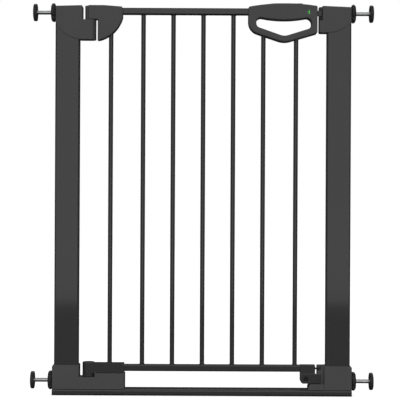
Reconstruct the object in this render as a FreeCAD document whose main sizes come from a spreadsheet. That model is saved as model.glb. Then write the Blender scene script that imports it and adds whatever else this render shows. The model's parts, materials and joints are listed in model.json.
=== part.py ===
import FreeCAD, Part
import math
import operator
import os
import Sketcher
from FreeCAD import Placement, Rotation, Vector

# Pressure-fit safety gate.  Millimetres, +Z up.  The origin is on the floor, under the middle
# of the gate: X runs along the gate, and the user's side, with the indicator window, is -Y.

doc = FreeCAD.newDocument("safety_gate")
sheet = doc.addObject("Spreadsheet::Sheet", "dims")

SIZES = [
    # frame
    ("post_out", 288.3, "outer side of each post, from the middle of the gate"),
    ("post_width", 47.3, "flat post, along X"),
    ("post_depth", 24.0, "flat post, along Y"),
    ("post_wall", 1.2, "tube wall of the posts and rails"),
    ("post_corner", 3.5, "outer corner radius of the post tube"),
    ("post_foot", 14.0, "lower end of the posts"),
    ("post_head", 753.0, "upper end of the posts"),
    ("sill_half", 291.5, "half length of the threshold bar"),
    ("sill_depth", 38.0, "threshold bar, along Y"),
    ("sill_height", 12.8, "threshold bar, along Z"),
    ("sill_wall", 1.5, "tube wall of the threshold bar"),
    ("sill_corner", 4.0, "outer corner radius of the threshold bar"),
    # boots on the threshold bar
    ("boot_depth", 36.0, "boots, along Y"),
    ("boot_top", 59.0, "top of the tall part of each boot"),
    ("boot_low", 43.3, "top of the low part of the pivot boot"),
    ("boot_tall_in", 239.0, "inner side of the tall part of each boot"),
    ("boot_long_in", 150.4, "inner end of the pivot boot"),
    ("recess_floor", 35.4, "floor of the knuckle recess in the pivot boot"),
    ("boot_round", 4.0, "rounded corners of the boots"),
    # hinge
    ("hinge_x", 221.4, "hinge axis, left of the middle"),
    ("pin_r", 4.0, "hinge pin radius"),
    ("pin_play", 0.05, "running clearance round pins, rods and bushes"),
    ("seam", 732.0, "height where the panel's knuckle sits on the frame's"),
    ("seam_gap", 0.4, "gap between the two knuckles"),
    ("cover_half", 13.5, "half depth of the frame's hinge cover"),
    ("cover_bottom", 692.5, "lowest edge of the frame's hinge cover"),
    ("cover_side", 727.0, "height where its rounded corner meets the post's side"),
    ("cover_inner", 235.6, "inner side of its upper part"),
    ("cover_face_end", 214.5, "end of its flat face beside the lower knuckle"),
    ("cover_top_out", 757.9, "its top, at the post's side"),
    ("cover_top_in", 759.4, "its top, beside the panel's knuckle"),
    ("knuckle_low_r", 12.1, "radius of the frame's knuckle"),
    ("knuckle_high_r", 10.0, "radius of the panel's knuckle"),
    ("cover_wrap_r", 57.5, "radius of its rounded lower corner"),
    # the panel's hinge cover
    ("wing_half", 12.5, "half depth of the panel's hinge cover"),
    ("wing_face", 224.0, "start of its flat face beside the upper knuckle"),
    ("wing_low_in", 206.2, "hinge side of its lower part"),
    ("wing_out", 157.5, "its side towards the bars"),
    ("wing_top", 759.8, "its top at the hinge"),
    ("wing_top_out", 757.2, "its top at the rail"),
    ("wing_side", 737.0, "height where its curved edge begins"),
    ("wing_bottom", 691.8, "its lowest corner"),
    ("wing_curve_r", 63.5, "radius of its curved edge"),
    # rails and bars
    ("rail_height", 13.1, "rails, along Z"),
    ("rail_depth", 15.0, "rails, along Y"),
    ("rail_corner", 2.5, "outer corner radius of the rails"),
    ("top_rail_z", 742.5, "underside of the top rail"),
    ("low_rail_z", 46.5, "underside of the bottom rail"),
    ("rail_start", 205.0, "hinge end of both rails, left of the middle"),
    ("top_rail_end", 102.5, "latch end of the top rail"),
    ("low_rail_end", 217.0, "latch end of the bottom rail"),
    ("bar_r", 4.5, "radius of the upright bars"),
    ("bar_pitch", 58.6, "pitch of the five middle bars"),
    ("first_bar_x", 180.4, "the first bar, left of the middle"),
    ("last_bar_x", 181.2, "the last bar, right of the middle"),
    ("bar_play", 0.15, "clearance round a bar in a moulding"),
    # bottom pivot cap
    ("cap_r", 12.0, "knuckle radius of the bottom pivot cap"),
    ("cap_half", 11.0, "half depth of the bottom pivot cap"),
    ("cap_bottom", 43.9, "underside of the cap on the rail"),
    ("cap_top", 62.0, "top of the cap on the rail"),
    ("cap_dome", 64.0, "top of its knuckle"),
    ("cap_knuckle_z", 36.2, "underside of its knuckle"),
    ("cap_end", 152.2, "end of the cap along the rail"),
    # handle housing
    ("grip_left", 87.3, "handle housing, side towards the bars"),
    ("grip_right", 222.0, "handle housing, latch side"),
    ("grip_half", 15.0, "half depth of the handle housing"),
    ("grip_top_left", 757.8, "its top corner towards the bars"),
    ("grip_top_right", 759.9, "its top corner at the latch side"),
    ("grip_crown_r", 390.0, "radius of its crowned top"),
    ("grip_low_right", 707.0, "its lower corner at the latch side"),
    ("grip_apex_x", 157.5, "middle of the pointed lower edge"),
    ("grip_apex_z", 688.1, "height of the pointed lower edge, before rounding"),
    ("grip_low_left", 711.6, "its lower corner towards the bars, before rounding"),
    ("hole_left", 102.9, "finger hole, end towards the bars"),
    ("hole_right", 210.6, "finger hole, latch end"),
    ("hole_top", 738.9, "upper corners of the finger hole, before rounding"),
    ("hole_sag_r", 225.0, "radius of the sagging upper edge of the finger hole"),
    ("hole_low_left", 719.6, "its lower corner towards the bars, before rounding"),
    ("hole_low_right", 717.2, "its lower corner at the latch end, before rounding"),
    ("hole_apex_z", 700.6, "its lowest point, before rounding"),
    ("hole_left_r", 8.8, "rounding of the finger hole towards the bars"),
    ("hole_right_r", 10.2, "rounding of its latch end"),
    ("bar_end_left", 710.0, "top of the bar that ends in the handle, towards the bars"),
    ("bar_end_right", 704.5, "top of the last bar, in the handle"),
    # latch
    ("bolt_z", 746.7, "height of the latch bolt's axis"),
    ("bolt_height", 10.0, "latch bolt, along Z"),
    ("bolt_half", 4.0, "half thickness of the latch bolt"),
    ("bolt_back", 150.0, "sprung end of the latch bolt"),
    ("bolt_tip", 231.5, "tip of the latch bolt"),
    ("bolt_play", 0.3, "clearance round the latch bolt"),
    ("spring_seat", 119.0, "fixed end of the latch spring"),
    ("spring_r", 3.1, "mean radius of the latch spring"),
    ("spring_wire_r", 0.45, "wire radius of the latch spring"),
    ("slide_left", 116.0, "thumb slide, end towards the bars"),
    ("slide_right", 193.0, "thumb slide, latch end"),
    ("slide_half", 7.5, "half width of the thumb slide"),
    ("slide_top", 765.4, "top of the thumb slide"),
    ("slide_travel", 10.0, "travel of the thumb slide and bolt"),
    ("window_x", 205.3, "middle of the indicator window"),
    ("window_z", 747.7, "middle of the indicator window"),
    ("window_width", 4.6, "indicator window, along X"),
    ("window_height", 10.0, "indicator window, along Z"),
    ("window_wall", 2.2, "thickness of the indicator window"),
    # receiver
    ("catch_left", 225.6, "receiver, side towards the panel"),
    ("catch_half", 14.0, "half depth of the receiver"),
    ("catch_bottom", 707.8, "lower edge of the receiver"),
    ("catch_side", 728.5, "height where its rounded corner meets the post's side"),
    ("catch_wrap_r", 64.0, "radius of its rounded lower corner"),
    ("catch_top_left", 760.4, "its top, towards the panel"),
    ("catch_top_right", 757.9, "its top, at the post's side"),
    ("pocket_right", 232.2, "end of the bolt's pocket"),
    ("pocket_floor", 731.8, "floor of the bolt's pocket"),
    ("pocket_back", 4.7, "rear wall of the bolt's pocket, behind the middle"),
    # bottom catch
    ("foot_left", 192.0, "latch foot, end towards the bars"),
    ("foot_half", 10.5, "half depth of the latch foot's sleeve"),
    ("foot_right", 220.6, "latch foot, end towards the strike plate"),
    ("foot_bottom", 24.5, "underside of the latch foot"),
    ("foot_front", 14.0, "front of the latch foot's tongue, before the middle"),
    ("tongue_back", 9.2, "rear of the tongue, before the middle"),
    ("tongue_right", 230.8, "tip of the tongue"),
    ("tongue_top", 43.6, "top of the tongue"),
    ("foot_round", 6.0, "rounded lower corner of the latch foot"),
    ("foot_screw_x", 202.4, "screw in the latch foot"),
    ("foot_screw_z", 34.0, "screw in the latch foot"),
    ("strike_left", 207.3, "ledge of the strike plate"),
    ("strike_wall", 225.1, "upright wall of the strike plate"),
    ("strike_right", 237.8, "strike plate, where it meets the boot"),
    ("ledge_top", 24.0, "top of the ledge"),
    ("strike_top", 58.9, "top of the upright wall"),
    ("strike_front", 8.0, "front of the upright wall, before the middle"),
    ("strike_back", 15.0, "rear of the upright wall, behind the middle"),
    ("peg_r", 1.9, "catch peg radius"),
    ("peg_z", 52.9, "height of the catch peg"),
    ("peg_tip", 229.8, "tip of the catch peg"),
    # spindles
    ("rod_r", 4.0, "M8 threaded rod"),
    ("high_rod_z", 746.0, "height of the upper rods"),
    ("low_rod_z", 28.0, "height of the lower rods"),
    ("rod_inside", 23.0, "length of rod inside the post"),
    ("high_cup_gap", 36.7, "post to the inner face of an upper wall cup"),
    ("low_cup_gap", 36.1, "boot to the inner face of a lower wall cup"),
    ("cup_r", 17.0, "wall cup radius"),
    ("cup_thick", 4.6, "wall cup, without its pad"),
    ("pad_thick", 2.6, "rubber wall pad"),
    ("wheel_r", 18.6, "handwheel nut radius"),
    ("wheel_thick", 8.4, "handwheel nut thickness"),
    ("wheel_gap", 1.1, "handwheel nut to post"),
    ("bush_r", 6.0, "guide bush radius"),
    ("bush_flange_r", 9.5, "guide bush flange radius"),
    ("bush_flange", 0.8, "guide bush flange thickness"),
    ("bush_inside", 12.0, "guide bush length inside the post"),
    # screws and edges
    ("screw_r", 1.6, "housing screw radius"),
    ("screw_hole_r", 1.7, "hole for a housing screw"),
    ("screw_head_r", 3.0, "housing screw head radius"),
    ("screw_head", 2.0, "housing screw head height"),
    ("screw_reach", 8.5, "depth of a screw's tip before the middle"),
    ("edge_r", 1.6, "soft edges of the mouldings"),
    ("grip_edge_r", 2.6, "soft edges of the handle"),
]


class Size:
    """A length in millimetres together with the sheet expression that gives it."""

    def __init__(self, value, text):
        self.value = value
        self.text = text

    def __add__(self, other):
        return join(self, "+", other)

    def __radd__(self, other):
        return join(other, "+", self)

    def __sub__(self, other):
        return join(self, "-", other)

    def __rsub__(self, other):
        return join(other, "-", self)

    def __mul__(self, other):
        return join(self, "*", other)

    def __rmul__(self, other):
        return join(other, "*", self)

    def __truediv__(self, other):
        return join(self, "/", other)

    def __neg__(self):
        return join(0, "-", self)


def number(item):
    return item.value if isinstance(item, Size) else float(item)


def text(item):
    return item.text if isinstance(item, Size) else f"{float(item):.6g}"


SIGNS = {"+": operator.add, "-": operator.sub, "*": operator.mul, "/": operator.truediv}


def join(left, sign, right):
    value = SIGNS[sign](number(left), number(right))
    return Size(value, f"({text(left)} {sign} {text(right)})")


class Dims:
    """The driving sizes by name, each one bound to its cell of the sheet."""


d = Dims()
for row, (alias, value, note) in enumerate(SIZES, start=1):
    sheet.set(f"A{row}", note)
    sheet.set(f"B{row}", str(value))
    sheet.setAlias(f"B{row}", alias)
    setattr(d, alias, Size(value, f"dims.{alias}"))
doc.recompute()

ORIGIN = Size(0.0, "0")
nodes = []


def bind(thing, prop, item):
    """Ties a property to the sheet, or sets it where the length is a plain number."""
    thing.setExpression(prop, text(item))


def new_body(label):
    body = doc.addObject("PartDesign::Body", label)
    body.Label = label
    nodes.append(body)
    return body


def place(body, x, y, z, turn=0.0):
    """Puts a body built about its own origin at its place on the gate."""
    body.Placement = Placement(Vector(0, 0, 0), Rotation(Vector(0, 0, 1), turn))
    bind(body, "Placement.Base.x", x)
    bind(body, "Placement.Base.y", y)
    bind(body, "Placement.Base.z", z)


def sketch_on(body, name, plane, level=0.0):
    """A sketch on one of the body's own origin planes, moved along its normal by level."""
    sketch = body.newObject("Sketcher::SketchObject", name)
    support = [part for part in body.Origin.OriginFeatures if part.Role == plane][0]
    sketch.AttachmentSupport = [(support, "")]
    sketch.MapMode = "FlatFace"
    bind(sketch, "AttachmentOffset.Base.z", level)
    return sketch


def hold_coordinate(sketch, kind, axis, geometry, end, item):
    if number(item) == 0:
        sketch.addConstraint(Sketcher.Constraint("PointOnObject", geometry, end, axis))
        return
    index = sketch.addConstraint(Sketcher.Constraint(kind, -1, 1, geometry, end, number(item)))
    if isinstance(item, Size):
        sketch.setExpression(f"Constraints[{index}]", item.text)


def hold_point(sketch, geometry, end, u, v):
    hold_coordinate(sketch, "DistanceX", -2, geometry, end, u)
    hold_coordinate(sketch, "DistanceY", -1, geometry, end, v)


def hold_radius(sketch, geometry, radius):
    index = sketch.addConstraint(Sketcher.Constraint("Radius", geometry, number(radius)))
    if isinstance(radius, Size):
        sketch.setExpression(f"Constraints[{index}]", radius.text)


def arc_between(start, end, radius):
    """The short arc from start to end; a positive radius has its centre on the left."""
    chord = end - start
    left = Vector(-chord.y, chord.x, 0)
    left.normalize()
    rise = math.sqrt(radius * radius - chord.Length * chord.Length / 4)
    centre = start + chord * 0.5 + left * math.copysign(rise, radius)
    first, last = (start, end) if radius > 0 else (end, start)
    angles = [math.atan2(p.y - centre.y, p.x - centre.x) for p in (first, last)]
    circle = Part.Circle(centre, Vector(0, 0, 1), abs(radius))
    return Part.ArcOfCircle(circle, angles[0], angles[1])


def add_outline(sketch, corners):
    """A closed loop through (u, v) corners; (u, v, radius) leaves its corner on an arc."""
    first = sketch.GeometryCount
    count = len(corners)
    ends = []
    for index, corner in enumerate(corners):
        following = corners[(index + 1) % count]
        start = Vector(number(corner[0]), number(corner[1]), 0)
        finish = Vector(number(following[0]), number(following[1]), 0)
        if len(corner) == 3:
            sketch.addGeometry(arc_between(start, finish, number(corner[2])))
        else:
            sketch.addGeometry(Part.LineSegment(start, finish))
        backwards = len(corner) == 3 and number(corner[2]) < 0
        ends.append((2, 1) if backwards else (1, 2))
    for index, corner in enumerate(corners):
        here = first + index
        after = first + (index + 1) % count
        meeting = Sketcher.Constraint("Coincident", here, ends[index][1], after,
                                      ends[(index + 1) % count][0])
        sketch.addConstraint(meeting)
        hold_point(sketch, here, ends[index][0], corner[0], corner[1])
        if len(corner) == 3:
            radius = corner[2]
            hold_radius(sketch, here, -radius if number(radius) < 0 else radius)


def add_circle(sketch, u, v, radius):
    index = sketch.GeometryCount
    centre = Vector(number(u), number(v), 0)
    sketch.addGeometry(Part.Circle(centre, Vector(0, 0, 1), number(radius)))
    hold_point(sketch, index, 3, u, v)
    hold_radius(sketch, index, radius)


def pad(body, sketch, length):
    """Raises the sketch along its plane's normal: X, -Y or Z."""
    feature = body.newObject("PartDesign::Pad", sketch.Name + "_pad")
    feature.Profile = sketch
    bind(feature, "Length", length)
    doc.recompute()
    return feature


def pocket(body, sketch, length, along_normal=False):
    """Cuts the sketch against its plane's normal, or along it."""
    before = body.Tip.Shape.Volume
    feature = body.newObject("PartDesign::Pocket", sketch.Name + "_pocket")
    feature.Profile = sketch
    feature.Reversed = along_normal
    bind(feature, "Length", length)
    doc.recompute()
    if feature.Shape.Volume >= before - 1e-6:
        raise RuntimeError(f"{body.Label}: {sketch.Name} cuts nothing")
    return feature


def revolve(body, sketch):
    """Turns a sketch once round its own horizontal axis."""
    feature = body.newObject("PartDesign::Revolution", sketch.Name + "_turned")
    feature.Profile = sketch
    feature.ReferenceAxis = (sketch, ["H_Axis"])
    feature.Angle = 360
    doc.recompute()
    return feature


def primitive(body, kind, name, sizes, base, turn=None):
    """An additive or subtractive primitive; each cut is checked by its volume."""
    before = body.Tip.Shape.Volume if body.Tip else 0.0
    feature = body.newObject(f"PartDesign::{kind}", f"{body.Name}_{name}")
    if turn:
        feature.Placement = Placement(Vector(0, 0, 0), turn)
    for prop, item in sizes.items():
        bind(feature, prop, item)
    for letter, item in zip("xyz", base):
        bind(feature, f"Placement.Base.{letter}", item)
    doc.recompute()
    volume = feature.Shape.Volume
    changed = volume < before - 1e-6 if kind.startswith("Subtractive") else volume > before + 1e-6
    if not changed:
        raise RuntimeError(f"{body.Label}: {name} changes nothing")
    return feature


def box(body, kind, name, low, high):
    sizes = {
        "Length": high[0] - low[0],
        "Width": high[1] - low[1],
        "Height": high[2] - low[2],
    }
    return primitive(body, kind + "Box", name, sizes, low)


def cut_box(body, name, low, high):
    return box(body, "Subtractive", name, low, high)


def add_box(body, name, low, high):
    return box(body, "Additive", name, low, high)


TURNS = {
    "X": Rotation(Vector(0, 1, 0), 90),
    "Y": Rotation(Vector(1, 0, 0), -90),
    "Z": Rotation(),
}


def cut_bore(body, name, axis, base, radius, length):
    sizes = {"Radius": radius, "Height": length}
    return primitive(body, "SubtractiveCylinder", name, sizes, base, TURNS[axis])


def add_shaft(body, name, axis, base, radius, length):
    sizes = {"Radius": radius, "Height": length}
    return primitive(body, "AdditiveCylinder", name, sizes, base, TURNS[axis])


def round_edges(body, name, radius, wanted):
    """Fillets the edges of the body's present shape that the test picks."""
    base = body.Tip
    picked = [f"Edge{n}" for n, edge in enumerate(base.Shape.Edges, start=1) if wanted(edge)]
    if not picked:
        raise RuntimeError(f"{body.Label}: no edge for {name}")
    feature = body.newObject("PartDesign::Fillet", f"{body.Name}_{name}")
    feature.Base = (base, picked)
    bind(feature, "Radius", radius)
    doc.recompute()
    if feature.State and "Invalid" in feature.State or feature.Shape.isNull():
        raise RuntimeError(f"{body.Label}: {name} failed")
    return feature


NEAR = 0.05


def straight_along(axis):
    """Test for straight edges that run along X, Y or Z."""
    direction = {"X": Vector(1, 0, 0), "Y": Vector(0, 1, 0), "Z": Vector(0, 0, 1)}[axis]

    def test(edge):
        if len(edge.Vertexes) != 2 or not isinstance(edge.Curve, (Part.Line, Part.LineSegment)):
            return False
        run = edge.Vertexes[1].Point - edge.Vertexes[0].Point
        return run.cross(direction).Length < NEAR
    return test


def across_at(*places):
    """Test for edges along Y at the given (x, z) places."""
    along = straight_along("Y")

    def test(edge):
        if not along(edge):
            return False
        point = edge.Vertexes[0].Point
        for x, z in places:
            if abs(point.x - number(x)) < NEAR and abs(point.z - number(z)) < NEAR:
                return True
        return False
    return test


def in_plane(axis, level):
    """Test for edges that lie wholly in a plane across X, Y or Z."""
    index = "XYZ".index(axis)

    def test(edge):
        bounds = edge.BoundBox
        low = (bounds.XMin, bounds.YMin, bounds.ZMin)[index]
        high = (bounds.XMax, bounds.YMax, bounds.ZMax)[index]
        return abs(low - number(level)) < NEAR and abs(high - number(level)) < NEAR
    return test


# ---------------------------------------------------------------- frame: posts and threshold

OVER = 2.0      # how far a cutting tool runs past the face it opens


def flat_tube(label, x_low, x_high, depth, z_low, z_high, corner, wall, axis):
    """A rounded rectangular tube along X or Z, open at both ends."""
    body = new_body(label)
    half = depth / 2
    add_box(body, "stock", (x_low, -half, z_low), (x_high, half, z_high))
    round_edges(body, "corners", corner, straight_along(axis))
    if axis == "Z":
        low = (x_low + wall, -half + wall, z_low - OVER)
        high = (x_high - wall, half - wall, z_high + OVER)
    else:
        low = (x_low - OVER, -half + wall, z_low + wall)
        high = (x_high + OVER, half - wall, z_high - wall)
    cut_box(body, "inside", low, high)
    return body


def frame_post(label, side):
    """A post; the two bushes for the rods sit in holes through its outer side."""
    if side < 0:
        x_low = -d.post_out
        x_high = d.post_width - d.post_out
        hole_x = -d.post_out - OVER
    else:
        x_low = d.post_out - d.post_width
        x_high = d.post_out
        hole_x = d.post_out - d.post_wall - OVER
    body = flat_tube(label, x_low, x_high, d.post_depth, d.post_foot, d.post_head,
                     d.post_corner, d.post_wall, "Z")
    length = d.post_wall + 2 * OVER
    cut_bore(body, "high_hole", "X", (hole_x, 0, d.high_rod_z), d.bush_r, length)
    cut_bore(body, "low_hole", "X", (hole_x, 0, d.low_rod_z), d.bush_r, length)
    return body


frame_post("left_post", -1)
frame_post("right_post", 1)

sill = flat_tube("sill_bar", -d.sill_half, d.sill_half, d.sill_depth, ORIGIN,
                 d.sill_height, d.sill_corner, d.sill_wall, "X")
SILL_SCREWS = (-200.0, -158.0, 215.0)
SILL_ACCESS_R = 4.5
for count, x in enumerate(SILL_SCREWS):
    cut_bore(sill, f"access_{count}", "Z", (x, 0, -OVER), SILL_ACCESS_R, d.sill_wall + 2 * OVER)
    cut_bore(sill, f"hole_{count}", "Z", (x, 0, d.sill_height - d.sill_wall - OVER),
             d.screw_hole_r, d.sill_wall + 2 * OVER)

SILL_SCREW_REACH = 12.0
sill_screws = new_body("sill_screws")
for count, x in enumerate(SILL_SCREWS):
    head_z = d.sill_height - d.sill_wall - d.screw_head
    add_shaft(sill_screws, f"head_{count}", "Z", (x, 0, head_z), d.screw_head_r, d.screw_head)
    add_shaft(sill_screws, f"shank_{count}", "Z", (x, 0, head_z + d.screw_head), d.screw_r,
              SILL_SCREW_REACH)

PLUG_LENGTH = 10.0
sill_plugs = new_body("sill_plugs")
for count, side in enumerate((-1, 1)):
    near = side * (d.sill_half - PLUG_LENGTH)
    far = side * d.sill_half
    low_x, high_x = (far, near) if side < 0 else (near, far)
    add_box(sill_plugs, f"plug_{count}",
            (low_x, d.sill_wall - d.sill_depth / 2, d.sill_wall),
            (high_x, d.sill_depth / 2 - d.sill_wall, d.sill_height - d.sill_wall))

# ---------------------------------------------------------------- boots

boot_half = d.boot_depth / 2
post_half = d.post_depth / 2

boot = new_body("pivot_boot")
side_view = sketch_on(boot, "pivot_boot_side", "XZ_Plane", -boot_half)
RECESS_PLAY = 0.5
RECESS_ROUND = 1.2
recess_right = d.cap_r + RECESS_PLAY - d.hinge_x
add_outline(side_view, [
    (-d.sill_half, d.sill_height),
    (-d.boot_long_in, d.sill_height),
    (-d.boot_long_in, d.boot_low),
    (recess_right, d.boot_low),
    (recess_right, d.recess_floor),
    (-d.boot_tall_in, d.recess_floor),
    (-d.boot_tall_in, d.boot_top),
    (-d.sill_half, d.boot_top),
])
pad(boot, side_view, d.boot_depth)
boot_end_edges = in_plane("X", -d.boot_long_in)
round_edges(boot, "end", d.boot_round, lambda edge: boot_end_edges(edge) and
            straight_along("Z")(edge))
round_edges(boot, "shoulder", d.boot_round, across_at((-d.sill_half, d.boot_top)))
round_edges(boot, "slot", RECESS_ROUND, across_at((-d.boot_tall_in, d.recess_floor),
                                                  (-d.boot_tall_in, d.boot_top),
                                                  (recess_right, d.boot_low)))
round_edges(boot, "rims", d.edge_r, lambda edge:
            (in_plane("Y", -boot_half)(edge) or in_plane("Y", boot_half)(edge)) and
            edge.BoundBox.ZMax > d.sill_height.value + NEAR)
cut_box(boot, "post_socket", (-d.post_out, -post_half, d.post_foot),
        (d.post_width - d.post_out, post_half, d.boot_top + OVER))
cut_bore(boot, "rod_hole", "X", (-d.sill_half - OVER, 0, d.low_rod_z), d.bush_r,
         d.sill_half - d.post_out + 2 * OVER)
PIN_FOOT = 16.0
cut_bore(boot, "pin_bore", "Z", (-d.hinge_x, 0, PIN_FOOT), d.pin_r + d.pin_play,
         d.boot_low - PIN_FOOT)
BOOT_WALL = 3.0
HOLLOW_LEFT = -192.0
HOLLOW_RIGHT = -166.0
cut_box(boot, "hollow", (HOLLOW_LEFT, BOOT_WALL - boot_half, d.sill_height - OVER),
        (HOLLOW_RIGHT, boot_half - BOOT_WALL, d.boot_low - BOOT_WALL))
for count, x in enumerate(SILL_SCREWS[:2]):
    cut_bore(boot, f"screw_hole_{count}", "Z", (x, 0, d.sill_height - OVER), d.screw_hole_r,
             SILL_SCREW_REACH + OVER)

boot = new_body("strike_boot")
side_view = sketch_on(boot, "strike_boot_side", "XZ_Plane", -boot_half)
add_outline(side_view, [
    (d.strike_right, d.sill_height),
    (d.sill_half, d.sill_height),
    (d.sill_half, d.boot_top),
    (d.strike_right, d.boot_top),
])
pad(boot, side_view, d.boot_depth)
round_edges(boot, "shoulder", d.boot_round, across_at((d.sill_half, d.boot_top)))
round_edges(boot, "rims", d.edge_r, lambda edge:
            (in_plane("Y", -boot_half)(edge) or in_plane("Y", boot_half)(edge)) and
            edge.BoundBox.ZMax > d.sill_height.value + NEAR)
cut_box(boot, "post_socket", (d.post_out - d.post_width, -post_half, d.post_foot),
        (d.post_out, post_half, d.boot_top + OVER))
cut_bore(boot, "rod_hole", "X", (d.post_out - OVER, 0, d.low_rod_z), d.bush_r,
         d.sill_half - d.post_out + 2 * OVER)

# ---------------------------------------------------------------- strike plate

strike = new_body("strike_plate")
ledge = sketch_on(strike, "ledge_side", "XZ_Plane", -d.sill_depth / 2)
LEDGE_SLOPE = 3.5
add_outline(ledge, [
    (d.strike_left, d.sill_height),
    (d.strike_right, d.sill_height),
    (d.strike_right, d.ledge_top),
    (d.strike_left + LEDGE_SLOPE, d.ledge_top),
    (d.strike_left, d.ledge_top - 2 * LEDGE_SLOPE),
])
pad(strike, ledge, d.sill_depth)
WALL_OVERLAP = 1.0
add_box(strike, "wall", (d.strike_wall, -d.strike_front, d.ledge_top - WALL_OVERLAP),
        (d.strike_right, d.strike_back, d.strike_top))
WALL_ROUND = 2.0
round_edges(strike, "wall_top", WALL_ROUND, across_at((d.strike_wall, d.strike_top)))
NOTCH_DEPTH = 7.0
NOTCH_BELOW_PEG = 3.5
NOTCH_BACK = 1.0
cut_box(strike, "notch",
        (d.strike_wall - OVER, -d.strike_front - OVER, d.peg_z - NOTCH_BELOW_PEG),
        (d.strike_wall + NOTCH_DEPTH, NOTCH_BACK, d.strike_top + OVER))
LIP_STEP = 2.5
LIP_DROP = 7.0
cut_box(strike, "front_step",
        (d.strike_left - OVER, -d.sill_depth / 2 - OVER, d.ledge_top - LIP_DROP),
        (d.strike_right + OVER, LIP_STEP - d.sill_depth / 2, d.ledge_top + OVER))
cut_bore(strike, "screw_hole", "Z", (SILL_SCREWS[2], 0, d.sill_height - OVER), d.screw_hole_r,
         SILL_SCREW_REACH + OVER)

# ---------------------------------------------------------------- housings in two shells

SPLIT_REACH = 400.0     # half length of the tool that splits a moulding, more than the gate's

def trim_to_half(body, side, reach):
    """Leaves the front (side -1) or rear (side 1) half of a moulding that is split at Y = 0."""
    low_y = 0.0 if side < 0 else -reach
    cut_box(body, "split", (-SPLIT_REACH, low_y, 0.0),
            (SPLIT_REACH, low_y + reach, 2 * SPLIT_REACH))


def shell(label, side, half, corners, rounds, edge_r, holes=()):
    """One shell of a housing: its outline in X and Z, as thick as half the housing.

    rounds gives (radius, places) for the corners of the outline; the rim is then softened.
    """
    body = new_body(label)
    outline = sketch_on(body, f"{label}_outline", "XZ_Plane", 0.0 if side < 0 else -half)
    add_outline(outline, corners)
    for hole in holes:
        add_outline(outline, hole)
    pad(body, outline, half)
    for count, (radius, places) in enumerate(rounds):
        round_edges(body, f"corner_{count}", radius, across_at(*places))
    face = -half if side < 0 else half
    round_edges(body, "rim", edge_r, in_plane("Y", face))
    return body


TIP_PLAY = 0.5          # hole beyond a screw's tip
HEAD_SINK = 0.4         # how far a screw head lies below the surface
HEAD_PLAY = 0.1         # clearance round a screw head
CROSS_LONG = 2.0        # half length of the cross recess
CROSS_WIDE = 0.4        # half width of the cross recess


def screw_holes(body, side, half, places):
    """Blind holes in a front shell, or clear holes with recessed heads in a rear shell."""
    for count, (x, z) in enumerate(places):
        if side < 0:
            cut_bore(body, f"screw_{count}", "Y", (x, -d.screw_reach - TIP_PLAY, z),
                     d.screw_hole_r, d.screw_reach + TIP_PLAY + OVER)
        else:
            cut_bore(body, f"screw_{count}", "Y", (x, -OVER, z), d.screw_hole_r, half + OVER)
            cut_bore(body, f"head_{count}", "Y", (x, half - d.screw_head - HEAD_SINK, z),
                     d.screw_head_r + HEAD_PLAY, d.screw_head + HEAD_SINK + OVER)


def add_screws(body, name, half, places):
    """Screws driven from the rear: a flat head with a cross recess, and a shank."""
    for count, (x, z) in enumerate(places):
        head_y = half - d.screw_head - HEAD_SINK
        add_shaft(body, f"{name}_head_{count}", "Y", (x, head_y, z), d.screw_head_r,
                  d.screw_head)
        add_shaft(body, f"{name}_shank_{count}", "Y", (x, -d.screw_reach, z), d.screw_r,
                  d.screw_reach + head_y)
        slot_y = head_y + d.screw_head / 2
        cut_box(body, f"{name}_slot_{count}", (x - CROSS_LONG, slot_y, z - CROSS_WIDE),
                (x + CROSS_LONG, slot_y + d.screw_head, z + CROSS_WIDE))
        cut_box(body, f"{name}_cross_{count}", (x - CROSS_WIDE, slot_y, z - CROSS_LONG),
                (x + CROSS_WIDE, slot_y + d.screw_head, z + CROSS_LONG))


SIDES = (("front", -1), ("rear", 1))

# frame's hinge cover: a hand-sized cover over the post's head with the lower knuckle
COVER_ROUND = 3.0
PIN_TIP = 748.0
PIN_TAIL = 701.0
PIN_END_PLAY = 1.0
COVER_SCREWS = ((-232.6, 702.0), (-232.6, 723.0))
for word, side in SIDES:
    corners = [
        (-d.cover_inner, d.cover_bottom),
        (-d.cover_face_end, d.cover_bottom),
        (-d.cover_face_end, d.seam),
        (-d.cover_inner, d.seam),
        (-d.cover_inner, d.cover_top_in),
        (-d.post_out, d.cover_top_out),
        (-d.post_out, d.cover_side, d.cover_wrap_r),
    ]
    rounds = [(COVER_ROUND, [(-d.cover_inner, d.cover_top_in)])]
    cover = shell(f"hinge_cover_{word}", side, d.cover_half, corners, rounds, d.edge_r)
    add_shaft(cover, "knuckle", "Z", (-d.hinge_x, 0, d.cover_bottom), d.knuckle_low_r,
              d.seam - d.cover_bottom)
    trim_to_half(cover, side, d.cover_half)
    cut_box(cover, "post_space", (-d.post_out - OVER, -post_half, d.cover_bottom - OVER),
            (d.post_width - d.post_out, post_half, d.post_head))
    cut_bore(cover, "pin_bore", "Z", (-d.hinge_x, 0, PIN_TAIL - PIN_END_PLAY),
             d.pin_r + d.pin_play, d.seam - PIN_TAIL + PIN_END_PLAY + OVER)
    screw_holes(cover, side, d.cover_half, COVER_SCREWS)

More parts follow.
